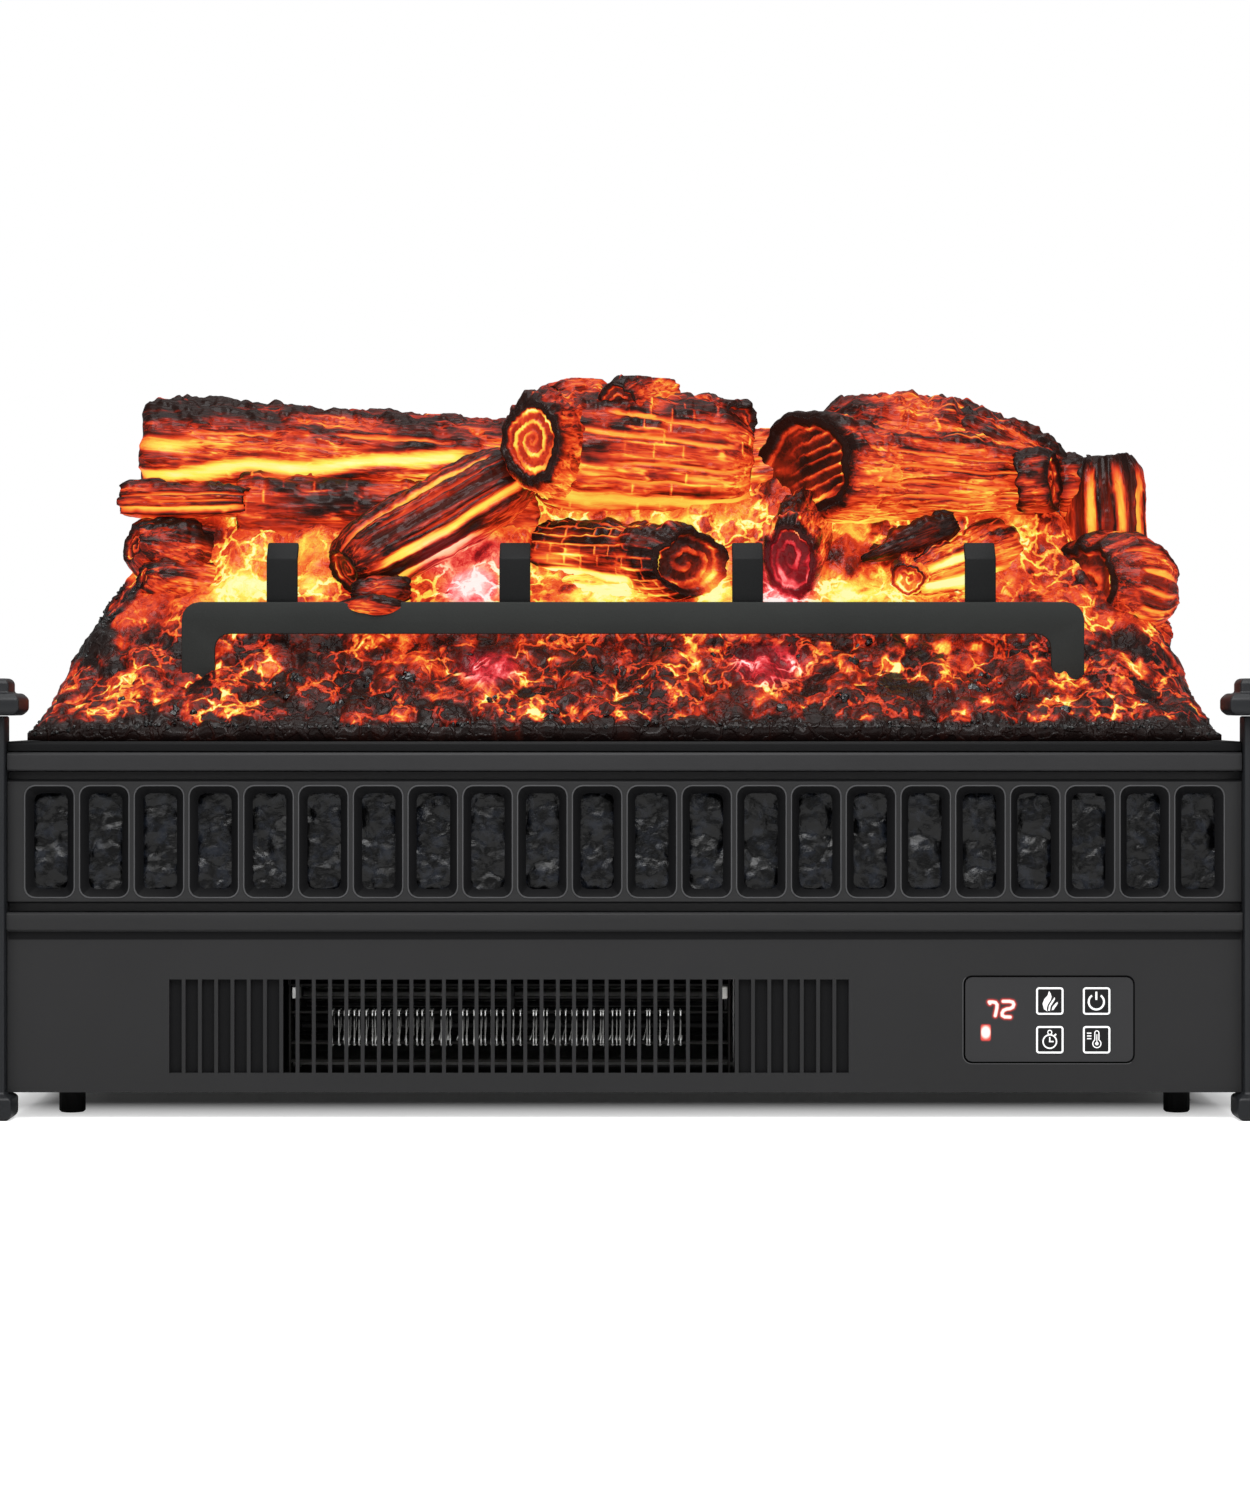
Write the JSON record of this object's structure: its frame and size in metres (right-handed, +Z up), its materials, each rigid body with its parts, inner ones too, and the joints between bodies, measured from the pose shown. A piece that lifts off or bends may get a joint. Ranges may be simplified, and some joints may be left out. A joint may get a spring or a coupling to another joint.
{
  "type": "electric fireplace log set",
  "caption": "Free-standing electric log set: windowed housing with a fan heater grille and key panel, corner posts, a grate and a pile of glowing resin logs on an ember bed.",
  "frame": {"origin": "on the floor, under the middle of the bounding box", "axes": "+Z up, the front with the grille and the controls faces -Y, +X to the right seen from the front"},
  "size_m": [0.66, 0.24, 0.3798],
  "materials": {
    "charcoal_plastic": "fine satin moulding",
    "rail_plastic": "satin moulding, a shade lighter",
    "post_paint": "satin black-grey paint",
    "black_gloss": "gloss black",
    "coal_plastic": "gloss black coal relief",
    "black_rubber": "matt",
    "black_sheet": "powder coated sheet",
    "bare_sheet": "bare zinc plated sheet",
    "mica": "mica board",
    "heater_wire": "resistance wire",
    "white_ceramic": "steatite",
    "white_plastic": "white moulding",
    "lamination": "steel laminations",
    "copper_coil": "enamelled winding or sintered bronze",
    "circuit_board": "green solder mask",
    "ember_resin": "translucent resin lit from below",
    "log_resin": "translucent resin with charred brown paint",
    "grate_paint": "matt black-green paint",
    "red_lens": "lit red indicator"
  },
  "bodies": {
    "housing": {"housing_pan": "black_sheet", "lower_fascia": "charcoal_plastic", "window_fascia": "charcoal_plastic", "upper_trim_rail": "rail_plastic", "coal_insert": "coal_plastic", "top_deck": "charcoal_plastic", "rear_cover": "black_sheet", "cord_gland": "black_rubber", "post_left": "post_paint", "post_right": "post_paint", "finial_left": "post_paint", "finial_right": "post_paint", "foot_front_left": "black_rubber", "foot_front_right": "black_rubber", "foot_rear_left": "black_rubber", "foot_rear_right": "black_rubber", "air_duct": "black_sheet", "heater_frame": "mica", "heating_wire": "heater_wire", "terminal_clip": "bare_sheet", "terminal_block": "white_ceramic", "thermal_cutout": "white_plastic", "blower_scroll": "bare_sheet", "bearing_bush": "copper_coil", "motor_stator": "lamination", "motor_coil": "copper_coil", "motor_bracket": "bare_sheet", "control_panel": "black_gloss", "display_window": "black_gloss", "indicator_lens": "red_lens", "control_board": "circuit_board", "power_board": "circuit_board", "ember_bed": "ember_resin", "led_board_front": "white_plastic", "led_board_rear": "white_plastic", "grate_frame": "grate_paint", "log_front_centre": "log_resin", "log_centre_stub": "log_resin", "log_front_right": "log_resin", "log_right_low": "log_resin", "log_left_stub": "log_resin", "log_diagonal": "log_resin", "log_centre_top": "log_resin", "log_right_top": "log_resin", "log_left_middle": "log_resin", "log_right_rear": "log_resin", "log_left_back": "log_resin", "log_right_crown": "log_resin", "grate_tine_1": "grate_paint", "grate_tine_2": "grate_paint", "grate_tine_3": "grate_paint", "grate_tine_4": "grate_paint"},
    "blower_rotor": {"blower_wheel": "black_gloss", "blower_shaft": "bare_sheet", "motor_rotor": "lamination"},
    "key_flame_body": {"key_flame": "black_gloss"},
    "key_power_body": {"key_power": "black_gloss"},
    "key_timer_body": {"key_timer": "black_gloss"},
    "key_thermostat_body": {"key_thermostat": "black_gloss"}
  },
  "joints": [
    {"name": "blower_spin", "type": "hinge", "parent": "housing", "child": "blower_rotor", "pos_m": [-0.0573, -0.03, 0.056], "axis": [1, 0, 0], "continuous": true},
    {"name": "key_flame_press", "type": "slide", "parent": "housing", "child": "key_flame_body", "axis": [0, 1, 0], "range_m": [0, 0.0006], "stiffness_N_per_m": 900},
    {"name": "key_power_press", "type": "slide", "parent": "housing", "child": "key_power_body", "axis": [0, 1, 0], "range_m": [0, 0.0006], "stiffness_N_per_m": 900},
    {"name": "key_timer_press", "type": "slide", "parent": "housing", "child": "key_timer_body", "axis": [0, 1, 0], "range_m": [0, 0.0006], "stiffness_N_per_m": 900},
    {"name": "key_thermostat_press", "type": "slide", "parent": "housing", "child": "key_thermostat_body", "axis": [0, 1, 0], "range_m": [0, 0.0006], "stiffness_N_per_m": 900}
  ]
}
